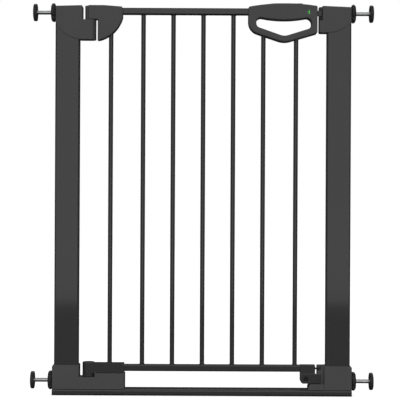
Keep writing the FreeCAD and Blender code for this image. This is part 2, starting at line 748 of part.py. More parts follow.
# receiver: the matching cover on the right post, with a pocket for the latch bolt that is
# open to the front and the top, so that the panel swings away from its rear stop
RECEIVER_SCREWS = ((233.4, 716.0), (236.7, 745.0))
for word, side in SIDES:
    corners = [
        (d.catch_left, d.catch_bottom),
        (d.post_out - d.post_width, d.catch_bottom, d.catch_wrap_r),
        (d.post_out, d.catch_side),
        (d.post_out, d.catch_top_right),
        (d.catch_left, d.catch_top_left),
    ]
    rounds = [(COVER_ROUND, [(d.catch_left, d.catch_bottom),
                             (d.catch_left, d.catch_top_left)])]
    receiver = shell(f"receiver_{word}", side, d.catch_half, corners, rounds, d.edge_r)
    cut_box(receiver, "post_space",
            (d.post_out - d.post_width, -post_half, d.catch_bottom - OVER),
            (d.post_out + OVER, post_half, d.post_head))
    cut_box(receiver, "bolt_pocket",
            (d.catch_left - OVER, -d.catch_half - OVER, d.pocket_floor),
            (d.pocket_right, d.pocket_back, d.catch_top_left + OVER))
    screw_holes(receiver, side, d.catch_half, RECEIVER_SCREWS)

frame_screws = new_body("frame_screws")
add_screws(frame_screws, "cover", d.cover_half, COVER_SCREWS)
add_screws(frame_screws, "receiver", d.catch_half, RECEIVER_SCREWS)

# ---------------------------------------------------------------- hinge pins

LOW_PIN_TIP = 56.0
PIN_ROUND = 0.6
for label, low, high in (("top_hinge_pin", PIN_TAIL, PIN_TIP),
                         ("bottom_hinge_pin", PIN_FOOT + PIN_END_PLAY / 2, LOW_PIN_TIP)):
    pin = new_body(label)
    add_shaft(pin, "shaft", "Z", (-d.hinge_x, 0, low), d.pin_r, high - low)
    round_edges(pin, "tip", PIN_ROUND, in_plane("Z", high))

# ---------------------------------------------------------------- panel: rails and bars

rail_half = d.rail_depth / 2
flat_tube("top_rail", -d.rail_start, d.top_rail_end, d.rail_depth, d.top_rail_z,
          d.top_rail_z + d.rail_height, d.rail_corner, d.post_wall, "X")
flat_tube("bottom_rail", -d.rail_start, d.low_rail_end, d.rail_depth, d.low_rail_z,
          d.low_rail_z + d.rail_height, d.rail_corner, d.post_wall, "X")

bar_foot = d.low_rail_z + d.rail_height
BARS = [
    (-d.first_bar_x, d.top_rail_z),
    (-2 * d.bar_pitch, d.top_rail_z),
    (-d.bar_pitch, d.top_rail_z),
    (ORIGIN, d.top_rail_z),
    (d.bar_pitch, d.top_rail_z),
    (2 * d.bar_pitch, d.bar_end_left),
    (d.last_bar_x, d.bar_end_right),
]
for count, (x, top) in enumerate(BARS, start=1):
    bar = new_body(f"bar_{count}")
    add_shaft(bar, "rod", "Z", (0, 0, 0), d.bar_r, top - bar_foot)
    place(bar, x, 0, bar_foot)

# ---------------------------------------------------------------- panel: hinge cover and cap

WING_SCREWS = ((-195.5, 709.0), (-168.0, 734.0))
WING_LOW_FLAT = 3.0
WING_TOP_FLAT = 30.0
WING_ROUND = 4.0
KNUCKLE_DROP = 0.8
for word, side in SIDES:
    corners = [
        (-d.wing_low_in, d.wing_bottom),
        (-d.wing_low_in + WING_LOW_FLAT, d.wing_bottom, d.wing_curve_r),
        (-d.wing_out, d.wing_side),
        (-d.wing_out, d.wing_top_out),
        (-d.wing_face + WING_TOP_FLAT, d.wing_top),
        (-d.wing_face, d.wing_top),
        (-d.wing_face, d.seam + d.seam_gap),
        (-d.wing_low_in, d.seam + d.seam_gap),
    ]
    rounds = [(WING_ROUND, [(-d.wing_out, d.wing_top_out)])]
    wing = shell(f"panel_cover_{word}", side, d.wing_half, corners, rounds, d.edge_r)
    add_shaft(wing, "knuckle", "Z", (-d.hinge_x, 0, d.seam + d.seam_gap), d.knuckle_high_r,
              d.wing_top - KNUCKLE_DROP - d.seam - d.seam_gap)
    trim_to_half(wing, side, d.wing_half)
    cut_box(wing, "rail_space", (-d.rail_start, -rail_half, d.top_rail_z),
            (-d.wing_out + OVER, rail_half, d.top_rail_z + d.rail_height))
    cut_bore(wing, "bar_space", "Z", (-d.first_bar_x, 0, d.wing_bottom - OVER),
             d.bar_r + d.bar_play, d.top_rail_z - d.wing_bottom + 2 * OVER)
    cut_bore(wing, "pin_bore", "Z", (-d.hinge_x, 0, d.seam - OVER), d.pin_r + d.pin_play,
             PIN_TIP - d.seam + OVER + PIN_END_PLAY)
    screw_holes(wing, side, d.wing_half, WING_SCREWS)

CAP_ROUND = 1.5
cap = new_body("pivot_cap")
add_shaft(cap, "knuckle", "Z", (-d.hinge_x, 0, d.cap_knuckle_z), d.cap_r,
          d.cap_dome - d.cap_knuckle_z)
round_edges(cap, "dome", CAP_ROUND, in_plane("Z", d.cap_dome))
add_box(cap, "sleeve", (-d.hinge_x, -d.cap_half, d.cap_bottom),
        (-d.cap_end, d.cap_half, d.cap_top))
cut_box(cap, "rail_socket", (-d.rail_start, -rail_half, d.low_rail_z),
        (-d.cap_end + OVER, rail_half, d.low_rail_z + d.rail_height))
slot_half = d.bar_r + d.bar_play
cut_bore(cap, "bar_hole", "Z", (-d.first_bar_x, 0, d.low_rail_z + d.rail_height - OVER),
         slot_half, d.cap_top - d.low_rail_z - d.rail_height + 2 * OVER)
cut_box(cap, "bar_slot", (-d.first_bar_x, -slot_half, d.low_rail_z + d.rail_height - OVER),
        (-d.cap_end + OVER, slot_half, d.cap_top + OVER))
cut_bore(cap, "pin_bore", "Z", (-d.hinge_x, 0, d.cap_knuckle_z - OVER), d.pin_r + d.pin_play,
         LOW_PIN_TIP + PIN_END_PLAY - d.cap_knuckle_z + OVER)

# ---------------------------------------------------------------- panel: handle housing

HANDLE_SCREWS = ((94.5, 724.0), (216.6, 722.0), (157.5, 696.6))
GRIP_LEFT_ROUND = 25.0
GRIP_POINT_ROUND = 40.0
GRIP_CORNER_ROUND = 4.0
GRIP_LATCH_ROUND = 3.0
HOLE_POINT_ROUND = 24.0
SLIDE_PLAY = 0.5
FLAG_LEFT = 202.0
FLAG_LENGTH = 8.0
FLAG_HALF_HEIGHT = 5.5
FLAG_PLAY = 0.4
FLAG_SPACE = 1.5
SLOT_ROUND = 0.5001     # a hair over half the width, so that the end arcs can be drawn
for word, side in SIDES:
    corners = [
        (d.grip_left, d.grip_low_left),
        (d.grip_apex_x, d.grip_apex_z),
        (d.grip_right, d.grip_low_right),
        (d.grip_right, d.grip_top_right, d.grip_crown_r),
        (d.grip_left, d.grip_top_left),
    ]
    hole = [
        (d.hole_left, d.hole_low_left),
        (d.grip_apex_x, d.hole_apex_z),
        (d.hole_right, d.hole_low_right),
        (d.hole_right, d.hole_top, -d.hole_sag_r),
        (d.hole_left, d.hole_top),
    ]
    rounds = [
        (GRIP_LEFT_ROUND, [(d.grip_left, d.grip_low_left)]),
        (GRIP_POINT_ROUND, [(d.grip_apex_x, d.grip_apex_z)]),
        (GRIP_CORNER_ROUND, [(d.grip_right, d.grip_low_right),
                             (d.grip_left, d.grip_top_left)]),
        (GRIP_LATCH_ROUND, [(d.grip_right, d.grip_top_right)]),
        (d.hole_left_r, [(d.hole_left, d.hole_low_left), (d.hole_left, d.hole_top)]),
        (d.hole_right_r, [(d.hole_right, d.hole_low_right), (d.hole_right, d.hole_top)]),
        (HOLE_POINT_ROUND, [(d.grip_apex_x, d.hole_apex_z)]),
    ]
    grip = shell(f"handle_{word}", side, d.grip_half, corners, rounds, d.grip_edge_r, [hole])
    bolt_low = d.bolt_z - d.bolt_height / 2
    bolt_high = d.bolt_z + d.bolt_height / 2
    channel = d.bolt_half + d.bolt_play
    cut_box(grip, "rail_space", (d.grip_left - OVER, -rail_half, d.top_rail_z),
            (d.top_rail_end, rail_half, d.top_rail_z + d.rail_height))
    cut_box(grip, "bolt_channel", (d.spring_seat, -channel, bolt_low - d.bolt_play),
            (d.grip_right + OVER, channel, bolt_high + d.bolt_play))
    cut_box(grip, "slide_channel",
            (d.slide_left - d.slide_travel - SLIDE_PLAY, -d.slide_half - SLIDE_PLAY,
             bolt_high - SLIDE_PLAY),
            (d.slide_right + SLIDE_PLAY, d.slide_half + SLIDE_PLAY, d.slide_top + OVER))
    for count, (x, top) in enumerate(BARS[5:]):
        cut_bore(grip, f"bar_space_{count}", "Z", (x, 0, d.grip_apex_z - OVER),
                 d.bar_r + d.bar_play, top - d.grip_apex_z + OVER)
    if side < 0:
        cut_box(grip, "flag_space",
                (FLAG_LEFT - d.slide_travel - FLAG_SPACE, d.window_wall - d.grip_half,
                 bolt_low - d.bolt_play),
                (FLAG_LEFT + 2 * FLAG_LENGTH + FLAG_SPACE, -d.bolt_half,
                 d.window_z + FLAG_HALF_HEIGHT + FLAG_PLAY))
        window = sketch_on(grip, "window_opening", "XZ_Plane", d.grip_half)
        flat = (d.window_height - d.window_width) / 2
        side_x = d.window_width / 2
        slot_outline = [
            (d.window_x + side_x, d.window_z - flat),
            (d.window_x + side_x, d.window_z + flat, d.window_width * SLOT_ROUND),
            (d.window_x - side_x, d.window_z + flat),
            (d.window_x - side_x, d.window_z - flat, d.window_width * SLOT_ROUND),
        ]
        add_outline(window, slot_outline)
        pocket(grip, window, d.window_wall + OVER / 2)
    screw_holes(grip, side, d.grip_half, HANDLE_SCREWS)

lens = new_body("indicator_window")
lens_outline = sketch_on(lens, "lens_outline", "XZ_Plane", d.grip_half - d.window_wall)
add_outline(lens_outline, slot_outline)
pad(lens, lens_outline, d.window_wall)

panel_screws = new_body("panel_screws")
add_screws(panel_screws, "wing", d.wing_half, WING_SCREWS)
add_screws(panel_screws, "grip", d.grip_half, HANDLE_SCREWS)

# ---------------------------------------------------------------- latch

BOLT_ROUND = 1.2
bolt = new_body("latch_bolt")
add_box(bolt, "bar", (d.bolt_back, -d.bolt_half, bolt_low), (d.bolt_tip, d.bolt_half, bolt_high))
round_edges(bolt, "tip", BOLT_ROUND, in_plane("X", d.bolt_tip))

SLIDE_RAMP = 26.0
SLIDE_RAMP_R = 150.0
SLIDE_DROP = 3.4
slide = new_body("thumb_slide")
slide_side = sketch_on(slide, "slide_side", "XZ_Plane", -d.slide_half)
add_outline(slide_side, [
    (d.slide_left, bolt_high),
    (d.slide_right, bolt_high),
    (d.slide_right, d.slide_top),
    (d.slide_left + SLIDE_RAMP, d.slide_top, SLIDE_RAMP_R),
    (d.slide_left, d.slide_top - SLIDE_DROP),
])
pad(slide, slide_side, 2 * d.slide_half)
GRIP_GROOVES = 6
GROOVE_PITCH = 5.0
GROOVE_R = 0.9
GROOVE_RISE = 0.2
FIRST_GROOVE = 12.0
for count in range(GRIP_GROOVES):
    groove_x = d.slide_right - FIRST_GROOVE - GROOVE_PITCH * count
    cut_bore(slide, f"groove_{count}", "Y",
             (groove_x, -d.slide_half - OVER, d.slide_top + GROOVE_RISE),
             GROOVE_R, 2 * d.slide_half + 2 * OVER)

for count, colour in enumerate(("green", "red")):
    flag = new_body(f"indicator_{colour}")
    left = FLAG_LEFT + count * FLAG_LENGTH
    add_box(flag, "flag",
            (left, d.window_wall + FLAG_PLAY - d.grip_half, d.window_z - FLAG_HALF_HEIGHT),
            (left + FLAG_LENGTH, -d.bolt_half, d.window_z + FLAG_HALF_HEIGHT))

# the latch spring is a wire swept along a helix, which has no bound feature of its own
SPRING_COILS = 9
spring_length = d.bolt_back.value - d.spring_seat.value - 2 * d.spring_wire_r.value
helix = Part.makeHelix(spring_length / SPRING_COILS, spring_length, d.spring_r.value)
wire_start = Part.Wire([Part.makeCircle(d.spring_wire_r.value,
                                        Vector(d.spring_r.value, 0, 0), Vector(0, 1, 0))])
coil = Part.Wire(helix.Edges).makePipeShell([wire_start], True, True)
spring = doc.addObject("Part::Feature", "latch_spring")
spring.Label = "latch_spring"
spring.Shape = coil
spring.Placement = Placement(
    Vector(d.spring_seat.value + d.spring_wire_r.value, 0, d.bolt_z.value), TURNS["X"])
nodes.append(spring)

# ---------------------------------------------------------------- panel: latch foot and peg


def foot_slice(body, name, front, back, right, top):
    """A slab of the latch foot between two depths; its lower left corner is rounded."""
    outline = sketch_on(body, name, "XZ_Plane", -back)
    turn = d.foot_round
    add_outline(outline, [
        (d.foot_left + turn, d.foot_bottom),
        (right, d.foot_bottom),
        (right, top),
        (d.foot_left, top),
        (d.foot_left, d.foot_bottom + turn, turn),
    ])
    pad(body, outline, back - front)


TONGUE_ROUND = 1.0
SEAT_R = 5.0
SEAT_DEPTH = 2.5
FOOT_SCREW_R = 2.0
FOOT_SCREW_HEAD_R = 4.7
FOOT_SCREW_HEAD = 2.2
FOOT_SCREW_SINK = 0.3
FOOT_SCREW_LENGTH = 12.0
FOOT_HOLE_DEPTH = 18.0
FOOT_CROSS_LONG = 3.0
FOOT_CROSS_WIDE = 0.5
FOOT_CROSS_DEPTH = 1.4
PEG_Y = -1.0
low_rail_top = d.low_rail_z + d.rail_height

foot = new_body("latch_foot")
foot_slice(foot, "foot_sleeve", -d.foot_half, d.foot_half, d.foot_right, low_rail_top)
foot_slice(foot, "foot_tongue", -d.foot_front, -d.tongue_back, d.tongue_right, d.tongue_top)
round_edges(foot, "tongue_rim", TONGUE_ROUND, in_plane("Y", -d.foot_front))
cut_box(foot, "rail_socket", (d.foot_left - OVER, -rail_half, d.low_rail_z),
        (d.low_rail_end, rail_half, low_rail_top + OVER))
screw_place = (d.foot_screw_x, -d.foot_front - OVER, d.foot_screw_z)
cut_bore(foot, "screw_seat", "Y", screw_place, SEAT_R, SEAT_DEPTH + OVER)
cut_bore(foot, "screw_hole", "Y", screw_place, FOOT_SCREW_R + HEAD_PLAY, FOOT_HOLE_DEPTH)
cut_bore(foot, "peg_hole", "X", (d.low_rail_end - OVER, PEG_Y, d.peg_z), d.peg_r,
         d.foot_right - d.low_rail_end + 2 * OVER)

foot_screw = new_body("foot_screw")
head_front = FOOT_SCREW_SINK - d.foot_front
add_shaft(foot_screw, "head", "Y", (d.foot_screw_x, head_front, d.foot_screw_z),
          FOOT_SCREW_HEAD_R, FOOT_SCREW_HEAD)
add_shaft(foot_screw, "shank", "Y",
          (d.foot_screw_x, head_front + FOOT_SCREW_HEAD, d.foot_screw_z),
          FOOT_SCREW_R, FOOT_SCREW_LENGTH)
for word, half_x, half_z in (("slot", FOOT_CROSS_LONG, FOOT_CROSS_WIDE),
                             ("cross", FOOT_CROSS_WIDE, FOOT_CROSS_LONG)):
    cut_box(foot_screw, word,
            (d.foot_screw_x - half_x, -d.foot_front - OVER, d.foot_screw_z - half_z),
            (d.foot_screw_x + half_x, FOOT_CROSS_DEPTH - d.foot_front, d.foot_screw_z + half_z))

peg = new_body("catch_peg")
add_shaft(peg, "peg", "X", (d.low_rail_end, PEG_Y, d.peg_z), d.peg_r,
          d.peg_tip - d.low_rail_end)

# ---------------------------------------------------------------- spindles

CORNERS = [
    ("top_left", -1, d.post_out, d.high_rod_z, d.high_cup_gap),
    ("top_right", 1, d.post_out, d.high_rod_z, d.high_cup_gap),
    ("bottom_left", -1, d.sill_half, d.low_rod_z, d.low_cup_gap),
    ("bottom_right", 1, d.sill_half, d.low_rod_z, d.low_cup_gap),
]
LOBES = 6
LOBE_CUT_R = 6.0        # round cut between two lobes of a handwheel nut
LOBE_CUT_OUT = 3.6      # its axis beyond the nut's own radius
ROD_CHAMFER = 1.0
ROD_IN_CUP = 3.0
CUP_BEVEL = 0.8
PAD_INSET = 0.4
PAD_SIDE = 1.2          # straight part of the pad's rim, before it is domed
PAD_SHOULDER = 0.6      # height of the dome's steep shoulder
PAD_SHOULDER_IN = 3.2
PAD_FACE_IN = 7.0       # the flat middle of the pad starts this far inside its rim
WHEEL_EDGE_DROPS = (    # share of the thickness, and how far the rim lies inside the radius
    (0.0, 2.4),
    (0.16, 0.5),
    (0.34, 0.0),
    (0.54, 0.3),
    (0.76, 1.7),
    (0.90, 3.8),
)
WHEEL_NOSE = 4.5


def turned(label, rings, bore_r=None):
    """A body turned round its X axis; rings are the (x, radius) corners of its profile."""
    body = new_body(label)
    half_section = sketch_on(body, f"{label}_section", "XZ_Plane")
    inner = bore_r if bore_r else 0
    first_x = rings[0][0]
    last_x = rings[-1][0]
    add_outline(half_section, [(first_x, inner), (last_x, inner)] + rings[::-1])
    revolve(body, half_section)
    return body


def spindle(corner, side, face_x, height, cup_gap):
    """Bush, threaded rod, wall cup, pad and handwheel nut of one corner.

    They are built with X pointing away from the post and the origin on its outer face.
    """
    turn = 0.0 if side > 0 else 180.0
    rod_back = d.post_out - face_x - d.rod_inside
    bush_back = d.post_out - face_x - d.bush_inside
    bore_r = d.rod_r + d.pin_play

    bush = turned(f"bush_{corner}", [
        (bush_back, d.bush_r - ROD_CHAMFER),
        (bush_back + ROD_CHAMFER, d.bush_r - d.pin_play),
        (ORIGIN, d.bush_r - d.pin_play),
        (ORIGIN, d.bush_flange_r),
        (d.bush_flange, d.bush_flange_r),
    ], bore_r)

    rod = turned(f"rod_{corner}", [
        (rod_back, d.rod_r - ROD_CHAMFER),
        (rod_back + ROD_CHAMFER, d.rod_r),
        (cup_gap + ROD_IN_CUP, d.rod_r),
    ])

    cup = turned(f"wall_cup_{corner}", [
        (cup_gap, d.cup_r - CUP_BEVEL),
        (cup_gap + CUP_BEVEL, d.cup_r),
        (cup_gap + d.cup_thick, d.cup_r),
    ])
    cut_bore(cup, "rod_socket", "X", (cup_gap - OVER, 0, 0), d.rod_r, ROD_IN_CUP + OVER)

    rim = d.cup_r - PAD_INSET
    pad_back = cup_gap + d.cup_thick
    rubber = turned(f"wall_pad_{corner}", [
        (pad_back, rim),
        (pad_back + PAD_SIDE, rim),
        (pad_back + d.pad_thick - PAD_SHOULDER, rim - PAD_SHOULDER_IN),
        (pad_back + d.pad_thick, rim - PAD_FACE_IN),
    ])

    wheel_rings = [(d.wheel_gap + share * d.wheel_thick, d.wheel_r - drop)
                   for share, drop in WHEEL_EDGE_DROPS]
    wheel_rings.append((d.wheel_gap + d.wheel_thick, d.rod_r + WHEEL_NOSE))
    wheel = turned(f"handwheel_{corner}", wheel_rings, bore_r)
    scallop = sketch_on(wheel, f"scallop_{corner}", "YZ_Plane", d.wheel_gap - OVER)
    add_circle(scallop, 0, d.wheel_r + LOBE_CUT_OUT, LOBE_CUT_R)
    cutter = pocket(wheel, scallop, d.wheel_thick + 2 * OVER, along_normal=True)
    lobes = wheel.newObject("PartDesign::PolarPattern", f"lobes_{corner}")
    lobes.Originals = [cutter]
    axis = [part for part in wheel.Origin.OriginFeatures if part.Role == "X_Axis"][0]
    lobes.Axis = (axis, [""])
    lobes.Angle = 360
    lobes.Occurrences = LOBES
    wheel.Tip = lobes

    for piece in (bush, rod, cup, rubber, wheel):
        place(piece, side * face_x, 0, height, turn)


for corner, side, face_x, height, cup_gap in CORNERS:
    spindle(corner, side, face_x, height, cup_gap)

# ---------------------------------------------------------------- check and export

doc.recompute()
for thing in doc.Objects:
    if "Invalid" in thing.State or "Error" in thing.State:
        raise RuntimeError(f"{thing.Label} did not compute: {thing.State}")

os.makedirs("parts", exist_ok=True)
for node in nodes:
    shape = node.Shape
    if shape.isNull() or not shape.isValid() or not shape.Solids:
        raise RuntimeError(f"{node.Label} has no valid solid")
    shape.exportStep(f"parts/{node.Label}.step")
    bounds = shape.BoundBox
    print(f"{node.Label:26s} {len(shape.Solids)} solid(s) {shape.Volume / 1000:9.2f} cm3  "
          f"X {bounds.XMin:8.2f} {bounds.XMax:8.2f}  Y {bounds.YMin:7.2f} {bounds.YMax:7.2f}  "
          f"Z {bounds.ZMin:7.2f} {bounds.ZMax:7.2f}")
print(f"{len(nodes)} nodes written")
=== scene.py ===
# %% [markdown]
# # A pressure-fit safety gate
# The gate stands in a doorway and is held by four screw spindles that push rubber pads against
# the walls. Its CAD model is loaded first and stays exactly where it is: this lesson gives it
# real finishes, and swaps a few plain CAD pieces for finer ones, such as the threaded rods.

# %% Load the gate's frame
import json
import math
import random

import bmesh
import bpy
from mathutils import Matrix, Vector


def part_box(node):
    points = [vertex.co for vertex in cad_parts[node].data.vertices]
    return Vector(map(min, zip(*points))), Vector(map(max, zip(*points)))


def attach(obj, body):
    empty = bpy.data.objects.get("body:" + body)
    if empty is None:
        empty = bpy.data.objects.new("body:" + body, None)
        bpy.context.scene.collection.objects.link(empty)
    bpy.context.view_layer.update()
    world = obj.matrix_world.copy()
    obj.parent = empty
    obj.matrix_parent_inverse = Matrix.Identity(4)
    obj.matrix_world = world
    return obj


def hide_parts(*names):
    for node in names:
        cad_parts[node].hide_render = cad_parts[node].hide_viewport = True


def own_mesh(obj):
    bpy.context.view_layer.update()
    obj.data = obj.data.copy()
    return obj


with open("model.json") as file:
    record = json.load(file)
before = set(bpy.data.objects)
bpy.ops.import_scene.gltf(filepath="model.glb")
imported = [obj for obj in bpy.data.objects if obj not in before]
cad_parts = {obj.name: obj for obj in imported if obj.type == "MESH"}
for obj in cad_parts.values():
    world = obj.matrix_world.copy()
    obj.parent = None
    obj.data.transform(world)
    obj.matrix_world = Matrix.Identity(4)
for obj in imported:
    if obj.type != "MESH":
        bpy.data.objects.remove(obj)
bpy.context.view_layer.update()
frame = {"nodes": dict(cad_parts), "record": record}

# %% [markdown]
# ## Camera
# The gate is looked at squarely from the indicator side, from a little over two and a half
# metres, with a long lens, so that its sides stay almost parallel. The camera could be aimed by an empty and
# a constraint, but one place and one rotation are simpler to read. A roll of a third of a
# degree is what a hand-levelled tripod has.

# %% Camera
CAMERA_PLACE = (-0.0052, -2.613, 0.381)
CAMERA_ROLL = math.radians(-0.28)
LENS_MM = 120.25
SENSOR_MM = 36.0
FARTHEST = 50.0

lens_data = bpy.data.cameras.new("gate_camera")
lens_data.sensor_width = SENSOR_MM
lens_data.lens = LENS_MM
lens_data.clip_end = FARTHEST
camera = bpy.data.objects.new("gate_camera", lens_data)
camera.location = CAMERA_PLACE
camera.rotation_euler = (math.radians(90), CAMERA_ROLL, 0)
bpy.context.scene.collection.objects.link(camera)
bpy.context.scene.camera = camera
print("camera at", CAMERA_PLACE, "with a lens of", LENS_MM, "mm")

# %% [markdown]
# ## Paper floor
# The gate stands on white paper. The paper could be a curved sweep, but a flat sheet that glows
# does the same here, because the wall behind is as white. It is hidden from reflections, so that
# the low parts of the paint stay dark.

# %% Paper floor
PAPER_LOW = (-6.0, -2.33)
PAPER_HIGH = (6.0, 8.0)
PAPER_GREY = 0.30
PAPER_GLOW = 0.84


def paper_sheet(name, low, high):
    sheet = bpy.data.meshes.new(name)
    corners = [(low[0], low[1], 0), (high[0], low[1], 0), (high[0], high[1], 0), (low[0], high[1], 0)]
    sheet.from_pydata(corners, [], [(0, 1, 2, 3)])
    paper = bpy.data.objects.new(name, sheet)
    bpy.context.scene.collection.objects.link(paper)
    return paper


floor = paper_sheet("paper_floor", PAPER_LOW, PAPER_HIGH)
floor.visible_glossy = False
floor.visible_diffuse = False

paper_finish = bpy.data.materials.new("white_paper")
paper_finish.use_nodes = True
paper_shader = paper_finish.node_tree.nodes["Principled BSDF"]
paper_shader.inputs["Base Color"].default_value = (PAPER_GREY, PAPER_GREY, PAPER_GREY, 1)
paper_shader.inputs["Emission Color"].default_value = (1, 1, 1, 1)
paper_shader.inputs["Emission Strength"].default_value = PAPER_GLOW
paper_shader.inputs["Roughness"].default_value = 0.9
paper_shader.inputs["Specular IOR Level"].default_value = 0.1
floor.data.materials.append(paper_finish)
print("paper floor laid,", PAPER_HIGH[0] - PAPER_LOW[0], "m wide")

# %% [markdown]
# ## Softboxes
# A black object on white paper needs light from the front: its satin paint shows the softbox as
# a pale sheen, and its rounded edges turn away from it and stay dark. A low strip fills in the
# matte boots, and is hidden from reflections. A high softbox behind the gate lights it for
# whoever walks round it, and is too high to show in the front of the threshold bar. A sun lamp
# would be simpler, but the paint would reflect it as a dot instead of a sheen.

# %% Softboxes
def softbox(name, place, aim, size, watts, in_reflections=True):
    """A rectangular area light of size (wide, tall) metres that looks from place to aim."""
    lamp = bpy.data.lights.new(name, "AREA")
    lamp.shape = "RECTANGLE"
    lamp.size, lamp.size_y = size
    lamp.energy = watts
    box = bpy.data.objects.new(name, lamp)
    box.location = place
    box.rotation_euler = (Vector(aim) - Vector(place)).to_track_quat("-Z", "Y").to_euler()
    box.visible_glossy = in_reflections
    bpy.context.scene.collection.objects.link(box)


FRONT_HEIGHT = 1.83
FILL_HEIGHT = 0.08
softbox("front_softbox", place=(0.0, -4.5, FRONT_HEIGHT), aim=(0.0, 0.0, FRONT_HEIGHT),
        size=(5.0, 4.0), watts=47)
softbox("low_fill", place=(0.0, -2.4, FILL_HEIGHT), aim=(0.0, 0.0, FILL_HEIGHT),
        size=(2.4, 0.36), watts=34, in_reflections=False)
softbox("rear_softbox", place=(0.0, 3.6, 4.2), aim=(0.0, 0.0, 0.4), size=(4.0, 2.0), watts=40)
print("front and rear softboxes and low fill hung")

# %% [markdown]
# ## Room
# The room is a dim grey sphere round everything: brighter overhead, darker below, and darkest
# where it shows as a reflection from behind the gate. A picture of a real room would light it
# too, but a ramp over height is easier to reason about: each stop is one band of the walls. What
# the camera sees directly is plain white, which the Light Path node picks out.

# %% Room helpers
FADE_START = -0.1
FADE_END = 0.2


def room_light(tree, stops, rear=1.0):
    """A background with (height, strength) stops; its rear half has the given share of them."""
    way = tree.nodes.new("ShaderNodeTexCoord").outputs["Generated"]
    parts = tree.nodes.new("ShaderNodeSeparateXYZ")
    tree.links.new(way, parts.inputs[0])
    share = tree.nodes.new("ShaderNodeMapRange")
    share.inputs["From Min"].default_value = -1.0
    tree.links.new(parts.outputs["Z"], share.inputs["Value"])
    ramp = tree.nodes.new("ShaderNodeValToRGB")
    ramp.color_ramp.interpolation = "EASE"
    marks = ramp.color_ramp.elements
    while len(marks) < len(stops):
        marks.new(0.5)
    for mark, (height, strength) in zip(marks, stops):
        mark.position = 0.5 + height / 2
        mark.color = (strength, strength, strength, 1)
    tree.links.new(share.outputs["Result"], ramp.inputs["Fac"])
    light = tree.nodes.new("ShaderNodeBackground")
    tree.links.new(ramp.outputs["Color"], light.inputs["Color"])
    fade = tree.nodes.new("ShaderNodeMapRange")
    fade.inputs["From Min"].default_value = FADE_START
    fade.inputs["From Max"].default_value = FADE_END
    fade.inputs["To Min"].default_value = 1.0
    fade.inputs["To Max"].default_value = rear
    tree.links.new(parts.outputs["Y"], fade.inputs["Value"])
    tree.links.new(fade.outputs["Result"], light.inputs["Strength"])
    return light.outputs[0]


def pick_light(tree, mask, otherwise, when):
    """One light where the mask is 0 and another where it is 1."""
    chosen = tree.nodes.new("ShaderNodeMixShader")
    tree.links.new(mask, chosen.inputs[0])
    tree.links.new(otherwise, chosen.inputs[1])
    tree.links.new(when, chosen.inputs[2])
    return chosen.outputs[0]


print("room helpers ready, the rear fades in from", FADE_START, "to", FADE_END)

# %% Room
SKY_GLOW = 0.7
SKY_GLOSS = 0.36
SIDE_GLOSS = 0.10
BELOW_GLOW = 0.06
BELOW_GLOSS = 0.05
PAPER_WHITE = 1.0
REAR_SHARE = 0.3

room = bpy.data.worlds.new("studio_room")
room.use_nodes = True
room.cycles.sampling_method = "NONE"
bpy.context.scene.world = room
tree = room.node_tree
tree.nodes.clear()
ray = tree.nodes.new("ShaderNodeLightPath")
soft_sky = room_light(tree, [(-0.05, BELOW_GLOW), (0.05, SKY_GLOW)])
gloss_sky = room_light(tree, [(-0.5, BELOW_GLOSS), (-0.2, SIDE_GLOSS), (0.1, SIDE_GLOSS), (0.9, SKY_GLOSS)],
                       rear=REAR_SHARE)
paper_wall = room_light(tree, [(-1.0, PAPER_WHITE), (1.0, PAPER_WHITE)])
lit = pick_light(tree, ray.outputs["Is Glossy Ray"], soft_sky, gloss_sky)
lit = pick_light(tree, ray.outputs["Is Camera Ray"], lit, paper_wall)
sky = tree.nodes.new("ShaderNodeOutputWorld")
tree.links.new(lit, sky.inputs["Surface"])
bpy.context.scene.view_settings.view_transform = "Standard"
print("sky glow", SKY_GLOW, "and", SKY_GLOSS, "in reflections")

# %% [markdown]
# ## Shared surface effects
# Several finishes need the same small effects: an uneven coat, edges rubbed by hands, dust
# that settles on ledges and painted shade under things. Each effect is a node group that is built
# once, with its sizes as inputs. A group could be copied into every material as loose nodes, but
# then a better grain would have to be drawn eleven times.

# %% Helpers for node groups
def start_group(name, inputs, outputs):
    """A shader group whose inputs are (name, value) floats and whose outputs are floats."""
    group = bpy.data.node_groups.new(name, "ShaderNodeTree")
    for label, value in inputs:
        socket = group.interface.new_socket(label, in_out="INPUT", socket_type="NodeSocketFloat")
        socket.default_value = value
    for label in outputs:
        group.interface.new_socket(label, in_out="OUTPUT", socket_type="NodeSocketFloat")
    given = group.nodes.new("NodeGroupInput")
    made = group.nodes.new("NodeGroupOutput")
    return group, given, made


def maths(group, operation, first, second, clamp=False):
    """One Math node; each operand is a number or another node's output."""
    node = group.nodes.new("ShaderNodeMath")
    node.operation = operation
    node.use_clamp = clamp
    for socket, value in zip(node.inputs, (first, second)):
        if isinstance(value, (int, float)):
            socket.default_value = value
        else:
            group.links.new(value, socket)
    return node.outputs[0]


def noise(group, size, detail=2.0, stretch=None):
    """Noise with spots about size metres wide, fixed to the piece."""
    place = group.nodes.new("ShaderNodeTexCoord").outputs["Object"]
    if stretch:
        mapping = group.nodes.new("ShaderNodeMapping")
        mapping.inputs["Scale"].default_value = stretch
        group.links.new(place, mapping.inputs["Vector"])
        place = mapping.outputs["Vector"]
    node = group.nodes.new("ShaderNodeTexNoise")
    node.inputs["Detail"].default_value = detail
    group.links.new(place, node.inputs["Vector"])
    group.links.new(maths(group, "DIVIDE", 1.0, size), node.inputs["Scale"])
    return node.outputs["Fac"]


print("group helpers ready")

# %% [markdown]
# ### Grain
# Powder paint dries with a faint orange peel, and a mould leaves a fine spark-eroded grain. Both
# are two noises: a fine one for the height of the surface, and a wide one for patches that are
# a little paler or shinier. A photograph of the grain could be wrapped on instead, but noise in
# the piece's own coordinates needs no unwrapping and never repeats.

